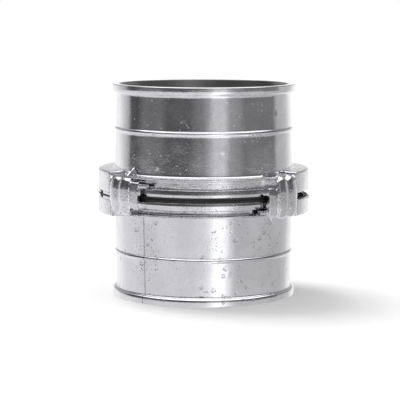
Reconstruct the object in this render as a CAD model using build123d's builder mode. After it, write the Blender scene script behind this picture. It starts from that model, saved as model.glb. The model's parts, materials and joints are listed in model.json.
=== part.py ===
from build123d import *
import os
from collections import namedtuple
from math import cos, radians, sin

os.makedirs("parts", exist_ok=True)

# Two castings of one layout meet face to face at the joint plane, the lower one turned over.
# Lengths are millimetres. Distances along the axis are counted from the joint plane.
# Angles are degrees round the axis, counted from the front of the coupling.
# The upper casting's flange and tail stand further from the joint plane by flange_shift, and the
# lower casting's stand nearer by as much, so distances behind the groove are means of the two.

# Hose tail
half_length = 60.3
bore_radius = 47.6
tail_end_wall = 2.1
tail_taper = 1.2
end_rim_height = 2.4
end_rim_width = 4.6
end_rim_blend = 1.4
end_rim_edge = 0.5
bead_height = 0.9
bead_width = 2.6
bead_distance = 34.9
tail_foot_blend = 1.6

# Face seal
joint_gap = 3.0
seal_setback = 0.2
seal_body_wall = 2.6
seal_body_depth = 3.9
seal_flange_setback = 0.9
seal_bead_height = 0.8
seal_bead_width = 1.6
seal_bead_depth = 1.0
seal_edge = 0.5

# Flange, groove and ledge
flange_shift = 1.2
seat_wall = 1.6
band_height = 2.5
band_width = 4.4
band_edge = 0.4
groove_width = 3.8
plate_thickness = 1.3
plate_edge = 0.5
hook_overlap = 2.1

# Claws and shroud walls
sliding_clearance = 0.4
groove_clearance = 0.2
claw_wall = 3.7
claw_tip = 3.2
lip_root = 0.5
claw_round = 3.0
finger_round = 1.5
finger_step = 1.5
finger_setback = 2.1
shroud_wall = 2.8
shroud_cover = 2.7
shroud_edge = 0.6
shroud_setback = 0.2

# Ribs between the tail and the flange
web_rise = 2.5
rib_rise = 4.2

# Places round the axis
claw_count = 2
lip_start = 32.7
ledge_start = 38.1
notch_angle = 2.3
finger_start = 37.6
block_start = 43.5
claw_end = 60.0
stop_gap_angle = 0.4
web_angle = 6.9
rib_centre = 49.0
rib_angle = 1.6

# Radii that follow
tail_end_radius = bore_radius + tail_end_wall
tail_foot_radius = tail_end_radius + tail_taper
root_radius = bore_radius + tail_end_wall / 2
end_rim_radius = tail_end_radius + end_rim_height
seal_inner_radius = bore_radius + seal_setback
seal_body_radius = seal_inner_radius + seal_body_wall
seal_bead_radius = seal_body_radius + seal_bead_height
groove_radius = seal_body_radius + seat_wall
hub_radius = (seal_bead_radius + groove_radius) / 2
band_radius = groove_radius + band_height
lip_radius = band_radius + sliding_clearance
ledge_radius = lip_radius + hook_overlap
claw_inner_radius = ledge_radius + sliding_clearance
claw_radius = claw_inner_radius + claw_wall
finger_radius = claw_radius - finger_step
shroud_radius = claw_inner_radius + shroud_wall
seal_flange_radius = band_radius - seal_flange_setback

# Distances from the joint plane that follow
face = joint_gap / 2
groove_near = face + band_width
groove_far = groove_near + groove_width
plate_far = groove_far + plate_thickness
shroud_near = face + shroud_setback
shroud_far = groove_far + shroud_cover
seat_far = face + seal_body_depth
lip_near = groove_near + groove_clearance
lip_far = groove_far - flange_shift - groove_clearance
claw_far = lip_far + claw_tip
finger_far = claw_far - finger_setback
rim_near = half_length - end_rim_width

# The tapered wall's radius under the bead
bead_share = (rim_near - bead_distance) / (rim_near - plate_far)
bead_wall_radius = tail_end_radius + tail_taper * bead_share

# Angles that follow
claw_pitch = 360 / claw_count
receiver_start = -claw_end
shroud_arc = claw_pitch - 2 * claw_end - stop_gap_angle

# A half is its plane at the joint, and what its distances behind the groove differ from the mean
Half = namedtuple("Half", "mate shift")
joint_height = half_length - flange_shift
upper_mate = Plane(origin=(0, 0, joint_height), x_dir=(1, 0, 0), z_dir=(0, 0, 1))
lower_mate = Plane(origin=(0, 0, joint_height), x_dir=(-1, 0, 0), z_dir=(0, 0, -1))
upper_half = Half(upper_mate, flange_shift)
lower_half = Half(lower_mate, -flange_shift)


def section_plane(half, angle):
    """The plane through the axis at an angle: x runs outwards, y runs away from the joint plane."""
    mate = half.mate
    outward = mate.x_dir * sin(radians(angle)) - mate.y_dir * cos(radians(angle))
    across = outward.cross(mate.z_dir)
    return Plane(origin=mate.origin, x_dir=outward, z_dir=across)


def sector_starts(angle):
    """The same place on each of the evenly spaced claws."""
    return [angle + number * claw_pitch for number in range(claw_count)]


def band(inner, outer, near, far, mode=Mode.ADD):
    """A rectangle of the section, between two radii and two distances."""
    with Locations((inner, near)):
        Rectangle(outer - inner, far - near, align=(Align.MIN, Align.MIN), mode=mode)


def corner(section, radius, distance):
    """The section's corner nearest to a place."""
    return section.vertices().sort_by_distance((radius, distance))[0]


def turn(section, half, arc=360, mode=Mode.ADD):
    """Revolve a section about the coupling's axis."""
    axis = Axis(half.mate.origin, half.mate.z_dir)
    revolve(section.sketch, axis=axis, revolution_arc=arc, mode=mode)


def add_tail(half):
    """The full-round part: tail, end rim, hose bead, seal seat, band, groove and flange plate."""
    groove_end = groove_far + half.shift
    plate_end = plate_far + half.shift
    rim_start = rim_near + half.shift
    tail_end = half_length + half.shift
    bead_circle = (bead_width ** 2 / 4 + bead_height ** 2) / (2 * bead_height)
    with BuildSketch(section_plane(half, 0)) as section:
        with BuildLine():
            Polyline(
                (bore_radius, face),
                (tail_foot_radius, face),
                (tail_foot_radius, plate_end),
                (tail_end_radius, rim_start),
                (tail_end_radius, tail_end),
                (bore_radius, tail_end),
                close=True,
            )
        make_face()
        band(bore_radius, end_rim_radius, rim_start, tail_end)
        band(bore_radius, groove_radius, face, groove_end)
        band(bore_radius, band_radius, face, groove_near)
        band(bore_radius, ledge_radius, groove_end, plate_end)
        fillet(corner(section, tail_end_radius, rim_start), end_rim_blend)
        fillet(corner(section, end_rim_radius, tail_end), end_rim_edge)
        fillet(corner(section, end_rim_radius, rim_start), end_rim_edge)
        fillet(corner(section, tail_foot_radius, plate_end), tail_foot_blend)
        fillet(corner(section, ledge_radius, plate_end), plate_edge)
        fillet(corner(section, band_radius, face), band_edge)
        fillet(corner(section, band_radius, groove_near), band_edge)
        with Locations((bead_wall_radius + bead_height - bead_circle, bead_distance + half.shift)):
            Circle(bead_circle)
        band(bore_radius, seal_body_radius, face, seat_far, mode=Mode.SUBTRACT)
        bead_near = face + seal_bead_depth
        bead_far = bead_near + seal_bead_width
        band(seal_body_radius, seal_bead_radius, bead_near, bead_far, mode=Mode.SUBTRACT)
    turn(section, half)


def add_ledges(half):
    """The ledges that the other half's hooks draw up on, each with a notch beside it."""
    ledge_arc = claw_end - ledge_start
    for start in sector_starts(receiver_start):
        with BuildSketch(section_plane(half, start)) as section:
            band(groove_radius, ledge_radius, face, groove_near)
            fillet(corner(section, ledge_radius, face), band_edge)
            fillet(corner(section, ledge_radius, groove_near), band_edge)
        turn(section, half, ledge_arc)
    for start in sector_starts(-ledge_start):
        with BuildSketch(section_plane(half, start)) as section:
            band(groove_radius, claw_radius, face, groove_near)
        turn(section, half, notch_angle, mode=Mode.SUBTRACT)


def add_shroud(half):
    """The outer walls between a claw and the next ledge, whose ends stop the other half's claws."""
    groove_end = groove_far + half.shift
    shroud_end = shroud_far + half.shift
    for start in sector_starts(claw_end):
        with BuildSketch(section_plane(half, start)) as section:
            band(root_radius, shroud_radius, groove_end, shroud_end)
            band(claw_inner_radius, shroud_radius, shroud_near, shroud_end)
            fillet(corner(section, shroud_radius, shroud_end), shroud_edge)
            fillet(corner(section, shroud_radius, shroud_near), shroud_edge)
        turn(section, half, shroud_arc)


def add_claws(half):
    """The claws: a wide block and a thinner finger that reach across the joint, with a hooked lip."""
    groove_end = groove_far + half.shift
    plate_end = plate_far + half.shift
    shroud_end = shroud_far + half.shift
    block_arc = claw_end - block_start
    finger_arc = block_start - finger_start
    lip_arc = claw_end - lip_start
    web_end = plate_end + web_rise
    for start in sector_starts(block_start):
        with BuildSketch(section_plane(half, start)) as section:
            band(hub_radius, claw_radius, face, groove_end)
            band(root_radius, claw_radius, groove_end, shroud_end)
            band(claw_inner_radius, claw_radius, -claw_far, shroud_end)
            fillet(corner(section, claw_radius, shroud_end), claw_round)
            fillet(corner(section, claw_radius, -claw_far), claw_round)
        turn(section, half, block_arc)
    for start in sector_starts(finger_start):
        with BuildSketch(section_plane(half, start)) as section:
            band(hub_radius, finger_radius, face, groove_near)
            band(claw_inner_radius, finger_radius, -finger_far, groove_near)
            fillet(corner(section, finger_radius, -finger_far), finger_round)
            fillet(corner(section, finger_radius, groove_near), finger_round)
        turn(section, half, finger_arc)
    for start in sector_starts(lip_start):
        with BuildSketch(section_plane(half, start)) as section:
            band(lip_radius, claw_inner_radius + lip_root, -lip_far, -lip_near)
            fillet(corner(section, lip_radius, -lip_near), band_edge)
        turn(section, half, lip_arc)
    for start in sector_starts(finger_start):
        with BuildSketch(section_plane(half, start)) as section:
            with BuildLine():
                Polyline(
                    (root_radius, groove_end),
                    (finger_radius, groove_end),
                    (finger_radius, plate_end),
                    (tail_foot_radius, web_end),
                    (root_radius, web_end),
                    close=True,
                )
            make_face()
        turn(section, half, web_angle)


def add_ribs(half):
    """Thin gussets from the tail to the flange plate, behind each ledge."""
    groove_end = groove_far + half.shift
    plate_end = plate_far + half.shift
    rib_end = plate_end + rib_rise
    for start in sector_starts(-rib_centre - rib_angle / 2):
        with BuildSketch(section_plane(half, start)) as section:
            with BuildLine():
                Polyline(
                    (root_radius, groove_end),
                    (ledge_radius - plate_edge, groove_end),
                    (ledge_radius - plate_edge, plate_end),
                    (tail_foot_radius, rib_end),
                    (root_radius, rib_end),
                    close=True,
                )
            make_face()
        turn(section, half, rib_angle)


def add_seal(half):
    """The face seal: a body in the seat, a bead that holds it there and a flange over the face."""
    with BuildSketch(section_plane(half, 0)) as section:
        band(seal_inner_radius, seal_body_radius, 0, seat_far)
        band(seal_inner_radius, seal_flange_radius, 0, face)
        bead_near = face + seal_bead_depth
        band(seal_body_radius, seal_bead_radius, bead_near, bead_near + seal_bead_width)
        fillet(corner(section, seal_flange_radius, 0), seal_edge)
        fillet(corner(section, seal_inner_radius, 0), seal_edge)
    turn(section, half)


with BuildPart() as lower_casting:
    add_tail(lower_half)
    add_ledges(lower_half)
    add_shroud(lower_half)
    add_claws(lower_half)
    add_ribs(lower_half)
lower_casting.part.label = "lower_casting"

with BuildPart() as upper_casting:
    add_tail(upper_half)
    add_ledges(upper_half)
    add_shroud(upper_half)
    add_claws(upper_half)
    add_ribs(upper_half)
upper_casting.part.label = "upper_casting"

with BuildPart() as lower_seal:
    add_seal(lower_half)
lower_seal.part.label = "lower_seal"

with BuildPart() as upper_seal:
    add_seal(upper_half)
upper_seal.part.label = "upper_seal"

export_step(lower_casting.part, "parts/lower_casting.step")
export_step(upper_casting.part, "parts/upper_casting.step")
export_step(lower_seal.part, "parts/lower_seal.step")
export_step(upper_seal.part, "parts/upper_seal.step")
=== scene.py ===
# %% [markdown]
# # A claw hose coupling
#
# Two like aluminium castings are hooked together by their claws. Each has a hose tail with an end
# rim and a bead, and a flange whose ledges and claws lock by a twist. A black rubber seal sits in
# each joint face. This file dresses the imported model: it gives each casting a mesh with the soft
# edges and the small faults of a die casting, and a metal finish that shows them.

# %% Load the frame
import json
import math
import bpy
import bmesh
from mathutils import Matrix, Vector, noise


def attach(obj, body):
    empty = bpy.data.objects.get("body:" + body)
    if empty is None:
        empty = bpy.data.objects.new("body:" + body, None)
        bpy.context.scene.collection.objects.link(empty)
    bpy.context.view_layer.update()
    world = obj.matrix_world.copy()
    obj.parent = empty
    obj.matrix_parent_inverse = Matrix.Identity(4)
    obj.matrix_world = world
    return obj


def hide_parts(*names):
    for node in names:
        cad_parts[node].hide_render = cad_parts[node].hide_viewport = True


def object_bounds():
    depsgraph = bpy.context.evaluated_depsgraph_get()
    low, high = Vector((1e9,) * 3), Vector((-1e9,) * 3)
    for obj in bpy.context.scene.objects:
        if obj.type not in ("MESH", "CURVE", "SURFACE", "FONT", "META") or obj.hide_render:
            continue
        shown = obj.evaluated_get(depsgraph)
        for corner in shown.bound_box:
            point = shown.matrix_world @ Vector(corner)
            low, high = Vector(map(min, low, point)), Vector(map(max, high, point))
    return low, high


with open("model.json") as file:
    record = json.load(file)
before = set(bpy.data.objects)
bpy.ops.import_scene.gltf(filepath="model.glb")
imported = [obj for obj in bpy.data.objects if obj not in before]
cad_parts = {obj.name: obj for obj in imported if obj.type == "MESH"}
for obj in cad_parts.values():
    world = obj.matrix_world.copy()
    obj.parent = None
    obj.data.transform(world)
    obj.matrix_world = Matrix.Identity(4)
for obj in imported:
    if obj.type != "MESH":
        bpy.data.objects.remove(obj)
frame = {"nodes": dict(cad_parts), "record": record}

cad_low, cad_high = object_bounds()
scene = bpy.context.scene
MM = 0.001
MIDDLE = cad_high.z / 2
JOINT_HEIGHT = frame["record"]["behaviour"]["joints"][0]["pos_m"][2]
print("CAD box", [round(v / MM, 1) for v in (cad_high - cad_low)], "mm, joint at", round(JOINT_HEIGHT / MM, 1))

# %% [markdown]
# ## The camera
#
# The coupling was photographed from about a metre away with a long lens, a little above its
# middle. A long lens keeps the two end rims nearly the same width, and the low angle shows just a
# sliver of the opening. Distance, height and lens were fitted to the rims and beads.

# %% Camera
CAMERA_DISTANCE = 0.9914
CAMERA_ELEVATION = math.radians(6.24)
CAMERA_LENS = 155.3
CAMERA_ROLL = math.radians(0.1)
AIM = Vector((-0.0020, 0, MIDDLE - 0.0068))


def make_camera():
    data = bpy.data.cameras.new("camera")
    data.sensor_width = 36
    data.lens = CAMERA_LENS
    camera = bpy.data.objects.new("camera", data)
    scene.collection.objects.link(camera)
    camera.location = (
        0,
        -CAMERA_DISTANCE * math.cos(CAMERA_ELEVATION),
        MIDDLE + CAMERA_DISTANCE * math.sin(CAMERA_ELEVATION),
    )
    look = (AIM - camera.location).to_track_quat("-Z", "Y").to_matrix().to_4x4()
    camera.matrix_world = Matrix.Translation(camera.location) @ look @ Matrix.Rotation(CAMERA_ROLL, 4, "Z")
    scene.camera = camera
    return camera


make_camera()

# %% [markdown]
# ## A way to write shader maths
#
# A shader is a graph of small nodes, and long sums of them are hard to read. The class below wraps
# one socket, so that `1 - mask * 0.5` adds the Math nodes by itself. Every other node comes from
# `Bench.add`, which sets a node's choices first and then its sockets.

# %% Shader helpers
class Value:
    """A number that comes out of a node."""

    def __init__(self, bench, socket):
        self.bench = bench
        self.socket = socket

    def maths(self, operation, *others):
        return self.bench.maths(operation, self, *others)

    def __add__(self, other):
        return self.maths("ADD", other)

    def __sub__(self, other):
        return self.maths("SUBTRACT", other)

    def __rsub__(self, other):
        return self.bench.maths("SUBTRACT", other, self)

    def __mul__(self, other):
        return self.maths("MULTIPLY", other)

    def __pow__(self, other):
        return self.maths("POWER", other)

    def __truediv__(self, other):
        return self.maths("DIVIDE", other)

    def __neg__(self):
        return self.maths("MULTIPLY", -1)

    __radd__ = __add__
    __rmul__ = __mul__

    def rise(self, start, end):
        """0 below start, 1 above end, and smooth between them. It falls where start is above end."""
        settings = {"interpolation_type": "SMOOTHSTEP"}
        low, high = min(start, end), max(start, end)
        made = self.bench.add("ShaderNodeMapRange", settings, {"Value": self, "From Min": low, "From Max": high})
        return made if start < end else 1 - made

    def between(self, start, end, soft):
        """1 from start to end, with soft edges."""
        return self.rise(start - soft, start + soft) * self.rise(end + soft, end - soft)


class Bench:
    """A node tree, and the one method that adds a node to it."""

    def __init__(self, tree):
        self.tree = tree
        tree.nodes.clear()

    def add(self, kind, settings=None, sockets=None, out=0):
        node = self.tree.nodes.new(kind)
        for name, choice in (settings or {}).items():
            if name == "stops":
                self.set_stops(node, choice)
            else:
                setattr(node, name, choice)
        for name, given in (sockets or {}).items():
            if isinstance(given, Value):
                self.tree.links.new(given.socket, node.inputs[name])
            else:
                node.inputs[name].default_value = given
        return Value(self, node.outputs[out]) if node.outputs else None

    def set_stops(self, node, stops):
        elements = node.color_ramp.elements
        while len(elements) < len(stops):
            elements.new(1)
        for element, (place, colour) in zip(elements, stops):
            element.position = place
            element.color = (*colour, 1) if isinstance(colour, tuple) else (colour, colour, colour, 1)

    def maths(self, operation, *values):
        return self.add("ShaderNodeMath", {"operation": operation}, dict(enumerate(values)))

    def mix(self, factor, first, second):
        """A colour between two colours."""
        settings = {"data_type": "RGBA"}
        return self.add("ShaderNodeMix", settings, {0: factor, 6: first, 7: second}, out=2)

    def split(self, place):
        """The x, y and z of a vector."""
        return [self.add("ShaderNodeSeparateXYZ", None, {0: place}, out=axis) for axis in range(3)]

    def noise(self, place, scale, detail=3, roughness=0.5, out=0):
        sockets = {"Vector": place, "Scale": scale, "Detail": detail, "Roughness": roughness}
        return self.add("ShaderNodeTexNoise", None, sockets, out)


def new_material(name):
    material = bpy.data.materials.new(name)
    material.use_nodes = True
    return material, Bench(material.node_tree)


# %% [markdown]
# ## Cast aluminium
#
# Metal has almost no colour of its own: it shows the room. What makes it read as a die casting is
# its skin. Tumbling leaves the tails smooth but for pits, specks and faint flow marks, while
# flange and claws keep a coarse grain and dark specks in their hollows. All of it goes into
# roughness, colour and a small bump. Shade is painted into the colour as well: the inner faces of
# the gap, the corners of the flange's groove, the notch beside each ledge and the bore are painted
# darker, as the shade that falls there.

# %% Cast aluminium
# Degrees from the front: where the halves of the mould met, and the notch beside each ledge.
SEAM = 40.5
NOTCH_START, LEDGE_START = 35.8, 38.1


def grey(level, blue=1.0):
    return (level, level, level * blue, 1)


def cast_aluminium(name):
    material, b = new_material(name)
    place = b.add("ShaderNodeTexCoord", out=3)
    x, y, z = b.split(place)
    above = (z - JOINT_HEIGHT) / MM
    distance = b.maths("ABSOLUTE", above)
    radius = b.maths("SQRT", x * x + y * y) / MM
    ring = radius.rise(51.6, 52.2) * distance.rise(16, 14)
    shaded_bore = radius.rise(48.4, 48.0)
    facing = b.split(b.add("ShaderNodeNewGeometry", out=1))[2]
    shaded_joint_face = distance.rise(1.95, 1.75) * b.maths("ABSOLUTE", facing).rise(0.55, 0.8)
    # The corners of the groove next to the plate, which are painted darker below as shade.
    corner = above.between(9.8, 11.6, 0.25) + above.between(-9.0, -7.1, 0.25) * 0.6
    corner = corner * radius.rise(55.8, 54.8) * ring
    upper = above.rise(-1, 1)
    turn = b.maths("ARCTAN2", x, -y) * (upper * 2 - 1) * (180 / math.pi)
    seam = turn.between(SEAM - 0.45, SEAM + 0.45, 0.25) + turn.between(SEAM - 180.45, SEAM - 179.55, 0.25)
    shaded_notch = turn.between(-LEDGE_START, -NOTCH_START, 0.15) + turn.between(180 - LEDGE_START, 180 - NOTCH_START, 0.15)
    shaded_notch = shaded_notch * distance.rise(6.6, 6.2) * radius.rise(54.0, 53.4)
    speck = b.noise(place, 950, 3, 0.65)
    grit = b.noise(place, 1500, 2)
    lump = b.noise(place, 300, 3, 0.6)
    cloud = b.noise(place, 60, 4, 0.6)
    patch = b.noise(place, 24, 3)
    pits = b.add("ShaderNodeTexVoronoi", None, {"Vector": place, "Scale": 330}).rise(0.24, 0.08)
    pits = pits * b.noise(place, 90, 2).rise(0.50, 0.60)
    warp = b.add("ShaderNodeVectorMath", {"operation": "SCALE"}, {0: b.noise(place, 900, 2, out=1), "Scale": 0.002})
    warped = b.add("ShaderNodeVectorMath", {"operation": "ADD"}, {0: place, 1: warp})
    blisters = b.add("ShaderNodeTexVoronoi", None, {"Vector": warped, "Scale": 170}).rise(0.27, 0.19)
    blisters = blisters * b.noise(place, 50, 2).rise(0.50, 0.55) * (1 - upper)
    freckles = b.add("ShaderNodeTexVoronoi", None, {"Vector": place, "Scale": 800}).rise(0.34, 0.18)
    near_seam = turn.between(SEAM - 14, SEAM + 14, 10)
    freckles = freckles * (b.noise(place, 45, 3) + near_seam * 0.07).rise(0.56, 0.64) * (1 - upper * 0.6)
    freckles = freckles * b.noise(place, 480, 2).rise(0.42, 0.54)
    flow = b.noise(b.add("ShaderNodeMapping", None, {"Vector": place, "Scale": (1, 1, 0.18)}), 420, 3)
    grain = b.noise(place, 600, 4, 0.7)
    cast_skin = speck * 0.09 + lump * 0.05
    polished = speck * 0.020 + lump * 0.024 + flow * 0.012 - blisters * 0.08 - freckles * 0.03
    height = cast_skin * ring + polished * (1 - ring) - pits * (0.06 - upper * 0.05)
    bump = b.add("ShaderNodeBump", None, {"Strength": 1.0, "Distance": MM, "Height": height})
    rough = 0.09 + ring * 0.05 + (cloud - 0.5) * 0.16 + pits * 0.25 + shaded_joint_face * 0.3 + shaded_bore * 0.2
    metal = b.mix(cloud.rise(0.35, 0.65), grey(0.78, 1.04), grey(0.88, 1.04))
    metal = b.mix(patch.rise(0.45, 0.65) * 0.25, metal, grey(0.66, 1.05))
    metal = b.mix(grain.rise(0.42, 0.62) * 0.22, metal, grey(0.62, 1.04))
    metal = b.mix((freckles * 0.5 + blisters * 0.25) * (1 - ring), metal, grey(0.32))
    metal = b.mix(seam * (1 - ring) * (0.55 - upper * 0.45), metal, grey(0.22))
    metal = b.mix(grit.rise(0.54, 0.66) * lump.rise(0.56, 0.44) * ring * 0.8, metal, grey(0.28))
    # Painted shade: the groove's corners are painted darker.
    metal = b.mix(corner * 0.6, metal, grey(0.22))
    # Painted shade: the flange seen through the notch beside each ledge is painted near black.
    metal = b.mix(shaded_notch * ring * 0.9, metal, grey(0.05))
    # Painted shade: the inside of the bore is painted darker.
    metal = b.mix(shaded_bore * 0.7, metal, grey(0.25))
    # Painted shade: the faces in the gap between the halves are painted near black.
    colour = b.mix(shaded_joint_face, metal, grey(0.12))
    shader = b.add("ShaderNodeBsdfPrincipled", None, {
        "Base Color": colour, "Metallic": 1.0, "Roughness": rough, "Normal": bump,
    })
    b.add("ShaderNodeOutputMaterial", None, {"Surface": shader})
    return material


# %% [markdown]
# ## Seal rubber
#
# The seals are soft black rubber. Only their edge shows, as the dark line in the gap.

# %% Seal rubber
def seal_rubber(name):
    material, b = new_material(name)
    place = b.add("ShaderNodeTexCoord", out=3)
    bloom = b.noise(place, 120, 3)
    colour = b.mix(bloom, grey(0.010), grey(0.028))
    shader = b.add("ShaderNodeBsdfPrincipled", None, {"Base Color": colour, "Roughness": bloom * 0.2 + 0.5})
    b.add("ShaderNodeOutputMaterial", None, {"Surface": shader})
    return material


aluminium = cast_aluminium("cast_aluminium")
rubber = seal_rubber("seal_rubber")
for node_name, node in frame["nodes"].items():
    finish = rubber if "seal" in node_name else aluminium
    node.data.materials.clear()
    node.data.materials.append(finish)

# %% [markdown]
# ## The measures of one half
#
# Both castings have one layout, so one set of measures does for both. Each is a radius from the
# axis or a distance from the joint plane, in millimetres, and places round the axis are degrees
# from the front. Bore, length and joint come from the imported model. The joint lies a little below
# the middle, so flange and tail stand further from it on the upper half: that is the shift.

# %% Measures
mounts = {mount["name"]: mount for mount in frame["record"]["mounts"]}
BORE = mounts["upper_tail_bore"]["dims"]["r_mm"]
HALF_LENGTH = MIDDLE / MM
SHIFT = (MIDDLE - JOINT_HEIGHT) / MM
TAIL_END, TAIL_FOOT = BORE + 2.1, BORE + 3.3
RIM_RADIUS, RIM_HEIGHT = BORE + 4.5, 4.6
BEAD_DISTANCE, BEAD_HEIGHT, BEAD_WIDTH = 34.9, 0.9, 2.6
FACE, BAND_FAR, GROOVE_FAR, PLATE_FAR, COVER_FAR = 1.5, 5.9, 9.7, 11.0, 12.4
SEAT, SEAT_BEAD, SEAT_FAR = 50.4, 51.2, 5.4
GROOVE, BAND, LIP, LEDGE = 52.0, 54.5, 54.9, 57.0
CLAW_INNER, FINGER, SHROUD, CLAW = 57.4, 59.6, 60.2, 61.1
LIP_NEAR, LIP_FAR, CLAW_FAR, FINGER_FAR = 6.1, 8.3, 11.5, 9.4
INSIDE_WALL, INSIDE_HUB = 49.3, 51.35
LIP_START, FINGER_START = 32.7, 37.6
BLOCK_START, KNUCKLE, CLAW_END, SHROUD_END = 43.5, 51.6, 60.0, 119.6
SEAM_HEIGHT = 0.07

# %% [markdown]
# ## Outlines and turned solids
#
# Everything on this part is round about one axis. A closed outline is drawn once in the plane of
# the axis, and `bmesh.ops.spin` turns it all the way for the tail, or part of the way for a ledge,
# a wall or a claw. Round corners are put in the outline, where they are exact.

# %% Outline helpers
def rounded(corners, steps=4):
    """An outline's points. Each corner is a radius, a distance and, if it is round, its rounding."""
    points = []
    for number, corner in enumerate(corners):
        here = Vector(corner[:2])
        if len(corner) < 3:
            points.append(here)
            continue
        back = (Vector(corners[number - 1][:2]) - here).normalized()
        ahead = (Vector(corners[(number + 1) % len(corners)][:2]) - here).normalized()
        half_angle = back.angle(ahead) / 2
        centre = here + (back + ahead).normalized() * corner[2] / math.sin(half_angle)
        start = here + back * corner[2] / math.tan(half_angle) - centre
        sweep = start.angle_signed(here + ahead * corner[2] / math.tan(half_angle) - centre)
        for step in range(steps + 1):
            points.append(centre + Matrix.Rotation(-sweep * step / steps, 2) @ start)
    return points


def divided(points, longest):
    """The same outline, with its long outer pieces cut so that none is longer than a length."""
    cut = []
    for number, here in enumerate(points):
        ahead = points[(number + 1) % len(points)]
        outside = min(here.x, ahead.x) > TAIL_END - 0.5
        pieces = math.ceil((ahead - here).length / longest) if outside else 1
        cut += [here.lerp(ahead, piece / pieces) for piece in range(pieces)]
    return cut


def place_on(angle, radius, distance):
    turn = math.radians(angle)
    return Vector((radius * math.sin(turn), -radius * math.cos(turn), distance))


def add_sector(bm, corners, start, end, step_angle=1.5):
    """A solid stretch of the ring: an outline turned from one angle to another, closed at its ends."""
    ring = [bm.verts.new(place_on(start, *point)) for point in rounded(corners)]
    face = bm.faces.new(ring)
    steps = max(1, round((end - start) / step_angle))
    bmesh.ops.spin(
        bm, geom=[face], axis=(0, 0, 1), cent=(0, 0, 0), angle=math.radians(end - start), steps=steps,
    )


def add_pair(bm, corners, start, end):
    """The same solid stretch twice, one across the axis from the other."""
    for turn in (0, 180):
        add_sector(bm, corners, start + turn, end + turn)


def add_round(bm, points, steps):
    """A full turn of a closed outline."""
    ring = [bm.verts.new(place_on(0, *point)) for point in points]
    edges = [bm.edges.new((ring[number - 1], ring[number])) for number in range(len(ring))]
    bmesh.ops.spin(
        bm, geom=ring + edges, axis=(0, 0, 1), cent=(0, 0, 0), angle=math.tau, steps=steps, use_merge=True,
    )


# %% [markdown]
# ## Band, ledges and walls
#
# The flange's disc is turned with the tail below. What stands on it covers only part of the turn:
# the band that closes the groove, the two ledges that the facing claws hook over, and the two
# shroud walls. They are short stretches of a turned outline. Faces lean a few degrees, so that the
# casting leaves its mould, and it shows: a band that leans up mirrors the dark wall of the room,
# and one that leans down mirrors the pale table.

# %% Band, ledges and walls
WEB_STEPS, WEB_RISE = 4, 1.5


def add_band(bm):
    band = [
        (GROOVE - 0.5, FACE), (BAND - 0.35, FACE, 0.15), (BAND, FACE + 1.5, 0.6), (BAND - 0.4, BAND_FAR, 0.8),
        (GROOVE - 0.5, BAND_FAR),
    ]
    add_pair(bm, band, -NOTCH_START, 180 - CLAW_END)


def add_walls(bm, shift):
    groove, plate, cover = GROOVE_FAR + shift, PLATE_FAR + shift, COVER_FAR + shift
    ledge = [(INSIDE_HUB, FACE), (LEDGE, FACE, 0.6), (LEDGE, BAND_FAR, 0.4), (INSIDE_HUB, BAND_FAR)]
    add_pair(bm, ledge, -CLAW_END - 0.5, -LEDGE_START)
    wall = [
        (INSIDE_WALL, groove), (CLAW_INNER, groove), (CLAW_INNER, FACE + 0.2), (SHROUD, FACE + 0.2, 0.6),
        (SHROUD, cover, 0.7), (INSIDE_WALL, cover + 0.3),
    ]
    add_pair(bm, wall, CLAW_END - 1, SHROUD_END)
    for step in range(WEB_STEPS):
        foot = plate + WEB_RISE * (step + 1) / WEB_STEPS
        web = [
            (INSIDE_WALL, groove), (FINGER - 0.4, groove), (FINGER - 0.4, plate, 0.4), (TAIL_FOOT, foot),
            (INSIDE_WALL, foot),
        ]
        start = FINGER_START + (BLOCK_START - FINGER_START) * step / WEB_STEPS
        add_pair(bm, web, start, BLOCK_START + 1)
    rib = [
        (INSIDE_WALL, groove), (LEDGE - 0.6, groove), (LEDGE - 0.6, plate + 0.1), (TAIL_FOOT, plate + 4.2),
        (INSIDE_WALL, plate + 4.2),
    ]
    add_pair(bm, rib, -49.8, -48.4)


# %% [markdown]
# The claw is a block and a finger that reach across the joint. The block is two knuckles with a
# valley between them. Each knuckle is domed all round: it is laid out as thin slices, which sink and
# shorten towards its sides along an arc. A dark stripe then runs below its bright round end.

# %% Claws
SLICES = 8


def add_knuckle(bm, shift, start, end):
    groove, cover = GROOVE_FAR + shift, COVER_FAR + shift
    width = (end - start) / SLICES
    for number in range(SLICES):
        across = (2 * number + 1) / SLICES - 1
        fall = 1 - math.sqrt(1 - 0.85 * across * across)
        outside, top, tip = CLAW - 1.8 * fall, cover - 0.9 - 3.2 * fall, CLAW_FAR - 1.2 * fall
        block = [
            (INSIDE_HUB, FACE), (CLAW_INNER, FACE), (CLAW_INNER, -tip), (outside - 1.2, -tip, 2.8),
            (outside, -tip + 5.4, 10), (outside, top - 8.2, 12), (outside - 1.2, top - 1.4, 2.8),
            (outside - 5.0, top), (INSIDE_WALL, top), (INSIDE_WALL, groove), (INSIDE_HUB, groove),
        ]
        add_pair(bm, block, start + width * number - 0.1, start + width * (number + 1) + 0.1)


def add_claws(bm, shift):
    add_knuckle(bm, shift, BLOCK_START, KNUCKLE)
    add_knuckle(bm, shift, KNUCKLE, CLAW_END)
    width = (BLOCK_START - FINGER_START) / SLICES
    for number in range(SLICES):
        root = BAND_FAR + 0.4 - 1.6 * (number / SLICES) ** 2
        finger = [
            (INSIDE_HUB, FACE), (CLAW_INNER, FACE), (CLAW_INNER, -FINGER_FAR), (FINGER - 0.5, -FINGER_FAR, 1.3),
            (FINGER, -FINGER_FAR + 5, 8), (FINGER, root - 3.5, 4), (FINGER - 0.7, root, 1.0), (INSIDE_HUB, root),
        ]
        start = FINGER_START + width * number
        add_pair(bm, finger, start, start + width + 0.2)
    lip = [(LIP, -LIP_NEAR, 0.4), (LIP, -LIP_FAR), (CLAW_INNER + 0.5, -LIP_FAR), (CLAW_INNER + 0.5, -LIP_NEAR)]
    add_pair(bm, lip, LIP_START, CLAW_END)


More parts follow.
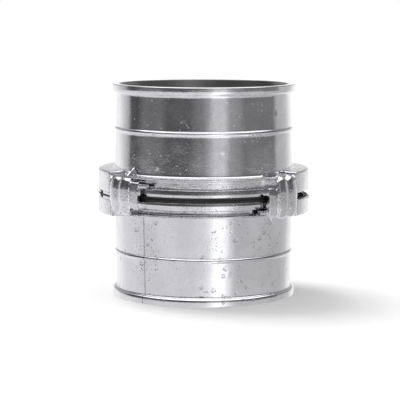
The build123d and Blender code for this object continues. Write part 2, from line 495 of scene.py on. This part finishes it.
def add_tab(bm, start, end):
    """A thin tab of metal that ran out where the halves of the mould met, on a wall's near edge."""
    tab = [
        (SHROUD - 0.8, FACE + 0.3), (SHROUD + 0.6, FACE + 0.4, 0.3), (SHROUD + 0.6, FACE + 1.6, 0.3),
        (SHROUD - 0.8, FACE + 2.0),
    ]
    add_sector(bm, tab, start, end)


def add_flash(bm, start, end):
    """A thin lip that ran out along a wall's near edge, nearly to the joint plane."""
    flash = [
        (SHROUD - 1.3, FACE + 0.8), (SHROUD - 1.1, FACE - 1.2, 0.3), (SHROUD - 0.1, FACE - 1.2, 0.3),
        (SHROUD - 0.1, FACE + 0.8),
    ]
    add_sector(bm, flash, start, end)


# %% [markdown]
# ## The hose tail
#
# The tail is one outline turned all the way: end rim, tapered wall, bead, the flange's disc with
# its groove, and the seal seat. The outside is cut finely along its length, so that small dents and
# waves can be pushed into it afterwards. The disc's face lies a hair behind the band's.
# The line where the two halves of the mould met runs down the tail as a hair's breadth ridge.

# %% Hose tail
TAIL_STEPS = 400
BEAD_SLOPE = math.radians(55)


def add_tail(bm, shift):
    groove, plate, bead_middle, end = (
        distance + shift for distance in (GROOVE_FAR, PLATE_FAR, BEAD_DISTANCE, HALF_LENGTH)
    )
    rim = end - RIM_HEIGHT
    wall = TAIL_END + (TAIL_FOOT - TAIL_END) * (rim - bead_middle) / (rim - plate)
    side = BEAD_WIDTH / 2
    # The bead is an arc. Its outline meets in a point above the arc, at BEAD_SLOPE to the wall.
    point = side * math.tan(BEAD_SLOPE)
    bead_rounding = (point - BEAD_HEIGHT) / (1 / math.cos(BEAD_SLOPE) - 1)
    outline = [
        (TAIL_FOOT, plate, 0.8), (wall + 0.02, bead_middle - side, 0.15),
        (wall + point, bead_middle, bead_rounding), (wall - 0.02, bead_middle + side, 0.15),
        (TAIL_END, rim, 0.5), (RIM_RADIUS, rim, 1.4), (RIM_RADIUS, end, 0.5), (BORE, end, 0.4),
        (BORE, SEAT_FAR), (SEAT, SEAT_FAR), (SEAT, 4.1), (SEAT_BEAD, 4.1), (SEAT_BEAD, 2.5), (SEAT, 2.5),
        (SEAT, FACE + 0.06), (GROOVE, FACE + 0.06), (GROOVE, groove, 0.6), (LEDGE, groove, 0.25),
        (LEDGE, plate, 0.35),
    ]
    add_round(bm, divided(rounded(outline), 1.2), TAIL_STEPS)


def raise_seams(bm):
    """Lift one column of the tail's points on each side by the seam's height."""
    for turn in (SEAM, SEAM - 180):
        for v in bm.verts:
            angle = math.degrees(math.atan2(v.co.x, -v.co.y))
            if abs(angle - turn) < 180 / TAIL_STEPS and math.hypot(*v.co.xy) > TAIL_END - 0.5:
                v.co += place_on(angle, SEAM_HEIGHT, 0)


# %% [markdown]
# ## Putting one casting together
#
# A casting has soft inner corners wherever walls meet. Bevelling every crossing edge by hand is
# slow, so claws and walls are put together from overlapping solids, and a voxel remesh melts each
# group into one skin, finer for the claws. Then one Boolean union joins them to the tail, and noise
# gives the whole skin the small waves of a casting. The lower half is turned over at the end.

# %% Casting
CLAW_VOXEL, WALL_VOXEL = 0.36, 0.6
# Tabs and flash on each half: the degrees, from its own front, where each starts and ends.
UPPER_FLASH = [(-110, -76.5), (-70.5, -60.5)]
LOWER_FLASH = [(60.5, 70.5), (76.5, 110)]
LOWER_TAB = (-86, -78)
# Dents in the lower tail: angle, distance from the joint plane, radius and depth.
LOWER_DENTS = [
    (8, 16, 1.6, 0.12), (24, 22, 1.6, 0.12), (7, 29, 1.5, 0.10), (24, 29, 1.6, 0.12), (27, 45, 2.0, 0.14),
    (6, 46, 1.4, 0.10), (-16, 41, 1.5, 0.12), (13, 50, 1.6, 0.12), (40, 38, 1.8, 0.10), (-33, 20, 1.5, 0.10),
]
UPPER_DENTS = [(55, 46, 2.2, 0.16), (-30, 18, 1.6, 0.10), (12, 27, 1.5, 0.08), (-12, 44, 1.7, 0.08)]


def to_object(bm, name):
    """A new object from closed solids, with their faces turned outwards."""
    data = bpy.data.meshes.new(name)
    bmesh.ops.recalc_face_normals(bm, faces=bm.faces)
    # The operator can turn a whole ring inside out, and its volume is negative then.
    if bm.calc_volume(signed=True) < 0:
        bmesh.ops.reverse_faces(bm, faces=bm.faces)
    bm.to_mesh(data)
    bm.free()
    made = bpy.data.objects.new(name, data)
    scene.collection.objects.link(made)
    return made


def applied(made):
    """The object's mesh with its modifiers applied, as a new bmesh. The object is removed."""
    graph = bpy.context.evaluated_depsgraph_get()
    bm = bmesh.new()
    bm.from_object(made, graph)
    bpy.data.objects.remove(made)
    return bm


def melted(bm, name, voxel):
    """One skin round all the overlapping solids, with soft edges."""
    made = to_object(bm, name)
    melt = made.modifiers.new("melt", "REMESH")
    melt.mode = "VOXEL"
    melt.voxel_size = voxel
    bm = applied(made)
    for _ in range(2):
        bmesh.ops.smooth_vert(bm, verts=bm.verts, factor=0.5, use_axis_x=True, use_axis_y=True, use_axis_z=True)
    return to_object(bm, name)


def wobble(bm, amounts, seed):
    """Push every point along its normal by noise of several sizes, as cast skins do."""
    offset = Vector((seed * 17.0, seed * 5.0, 0))
    bm.normal_update()
    moves = []
    for v in bm.verts:
        push = sum(height * noise.noise(v.co / size + offset) for size, height in amounts)
        moves.append(v.normal * push)
    for v, move in zip(bm.verts, moves):
        v.co += move


def dent(bm, dents):
    """Push round hollows into the tail."""
    for angle, distance, radius, depth in dents:
        middle = place_on(angle, TAIL_END + 0.5, distance)
        for v in bm.verts:
            away = (v.co - middle).length / radius
            if away < 1.6:
                v.co -= v.normal * depth * math.exp(-2 * away * away)


def joined(first, others):
    """One closed skin round an object and others, as a new bmesh."""
    group = bpy.data.collections.new("to join")
    for other in others:
        group.objects.link(other)
    union = first.modifiers.new("union", "BOOLEAN")
    union.operation = "UNION"
    union.solver = "MANIFOLD"
    union.operand_type = "COLLECTION"
    union.collection = group
    bm = applied(first)
    for other in others:
        bpy.data.objects.remove(other)
    bpy.data.collections.remove(group)
    return bm


def make_casting(name, turned_over, shift, dents, flash, seed):
    claws = bmesh.new()
    add_claws(claws, shift)
    for start, end in flash:
        add_flash(claws, start, end)
    if turned_over:
        add_tab(claws, *LOWER_TAB)
    walls = bmesh.new()
    add_walls(walls, shift)
    band = bmesh.new()
    add_band(band)
    tail = bmesh.new()
    add_tail(tail, shift)
    dent(tail, dents)
    raise_seams(tail)
    pieces = [
        melted(claws, name + "_claws", CLAW_VOXEL),
        melted(walls, name + "_walls", WALL_VOXEL),
        to_object(band, name + "_band"),
    ]
    tail = to_object(tail, name + "_tail")
    print(name, {piece.name: len(piece.data.polygons) for piece in [tail, *pieces]}, "faces")
    casting = joined(tail, pieces)
    wobble(casting, [(24.0, 0.06), (7.0, 0.025), (3.5, 0.008)], seed)
    turn = Matrix.Rotation(math.pi, 4, "Y") if turned_over else Matrix.Identity(4)
    casting.transform(Matrix.Translation((0, 0, JOINT_HEIGHT)) @ Matrix.Scale(MM, 4) @ turn)
    casting = to_object(casting, name)
    casting.data.shade_smooth()
    casting.data.set_sharp_from_angle(angle=math.radians(50))
    casting.data.materials.append(aluminium)
    return casting


halves = {
    "upper": make_casting("upper_half_casting", False, SHIFT, UPPER_DENTS, UPPER_FLASH, 1),
    "lower": make_casting("lower_half_casting", True, -SHIFT, LOWER_DENTS, LOWER_FLASH, 2),
}
for half, casting in halves.items():
    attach(casting, half + "_half")
    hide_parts(half + "_casting")
    print(half, "casting", sum(len(face.vertices) - 2 for face in casting.data.polygons), "triangles")

# %% [markdown]
# ## The studio
#
# A polished tail is a mirror bent round a post, so the room decides how it looks. The room is a
# pale table under a dark wall: the upper tail, which narrows upwards, mirrors the wall, and the
# lower tail, which narrows downwards, mirrors the table. Both are brightest a little right of the
# camera. The lamp that casts the shadow stands behind on the left, and the metal doesn't mirror it.

# %% Studio
def make_world():
    world = bpy.data.worlds.new("studio")
    world.use_nodes = True
    scene.world = world
    b = Bench(world.node_tree)
    way = b.add("ShaderNodeTexCoord", out=0)
    x, y, z = b.split(way)
    azimuth = b.maths("ARCTAN2", x, -y) * (180 / math.pi)
    elevation = b.maths("ARCSINE", z) * (180 / math.pi)

    def round_the_room(levels):
        stops = [((angle + 180) / 360, level) for angle, level in levels]
        return b.add("ShaderNodeValToRGB", {"stops": stops}, {0: azimuth / 360 + 0.5})

    wall = round_the_room([
        (-180, 1.0), (-145, 1.0), (-134, 0.8), (-122, 0.6), (-114, 0.42), (-109, 0.1), (-96, 0.08), (-84, 0.17),
        (-58, 0.17), (-48, 0.10), (-20, 0.10), (-8, 0.19), (0, 0.22), (8, 0.40), (13, 0.60), (27, 0.60),
        (34, 0.32), (46, 0.27), (54, 0.18), (103, 0.19), (110, 0.48), (131, 0.58), (143, 0.75), (155, 1.0),
        (180, 1.0),
    ])
    table = round_the_room([
        (-180, 1.0), (-140, 1.0), (-124, 0.84), (-108, 0.80), (-84, 0.72), (-14, 0.72), (0, 0.80), (8, 0.95),
        (14, 1.28), (27, 1.28), (34, 0.82), (42, 0.57), (76, 0.56), (100, 0.52), (120, 0.52), (134, 0.62),
        (146, 0.9), (158, 1.0), (180, 1.0),
    ])
    upper_wall = b.mix(elevation.rise(3, 12) * 0.6, wall, grey(0.05))
    room = b.mix(elevation.rise(-3.9, -5.2), upper_wall, table)
    room = b.mix(elevation.rise(36, 50), room, grey(1.8))
    plain = b.add("ShaderNodeBackground", None, {"Color": grey(1), "Strength": 0.86})
    mirrored = b.add("ShaderNodeBackground", None, {"Color": room, "Strength": 1.0})
    white = b.add("ShaderNodeBackground", None, {"Color": grey(1), "Strength": 1.0})
    glossy = b.add("ShaderNodeLightPath", out=3)
    camera = b.add("ShaderNodeLightPath", out=0)
    shader = b.add("ShaderNodeMixShader", None, {0: glossy, 1: plain, 2: mirrored})
    shader = b.add("ShaderNodeMixShader", None, {0: camera, 1: shader, 2: white})
    b.add("ShaderNodeOutputWorld", None, {"Surface": shader})


def make_floor():
    bm = bmesh.new()
    bmesh.ops.create_grid(bm, x_segments=1, y_segments=1, size=3)
    data = bpy.data.meshes.new("floor")
    bm.to_mesh(data)
    bm.free()
    floor = bpy.data.objects.new("floor", data)
    scene.collection.objects.link(floor)
    material, b = new_material("floor")
    shader = b.add("ShaderNodeBsdfDiffuse", None, {"Color": grey(0.85)})
    b.add("ShaderNodeOutputMaterial", None, {"Surface": shader})
    data.materials.append(material)
    floor.visible_glossy = False


def make_sun(name, azimuth, elevation, width, strength):
    """A wide sun. Azimuth is where it stands, in degrees from the camera's side towards the right."""
    data = bpy.data.lights.new(name, "SUN")
    data.angle = math.radians(width)
    data.energy = strength
    lamp = bpy.data.objects.new(name, data)
    scene.collection.objects.link(lamp)
    toward = place_on(azimuth, math.cos(math.radians(elevation)), math.sin(math.radians(elevation)))
    lamp.rotation_mode = "QUATERNION"
    lamp.rotation_quaternion = toward.to_track_quat("Z", "Y")
    lamp.visible_glossy = False
    return lamp


make_world()
make_floor()
key = make_sun("key", -130, 60, 30, 1.7)

scene.view_settings.view_transform = "Standard"
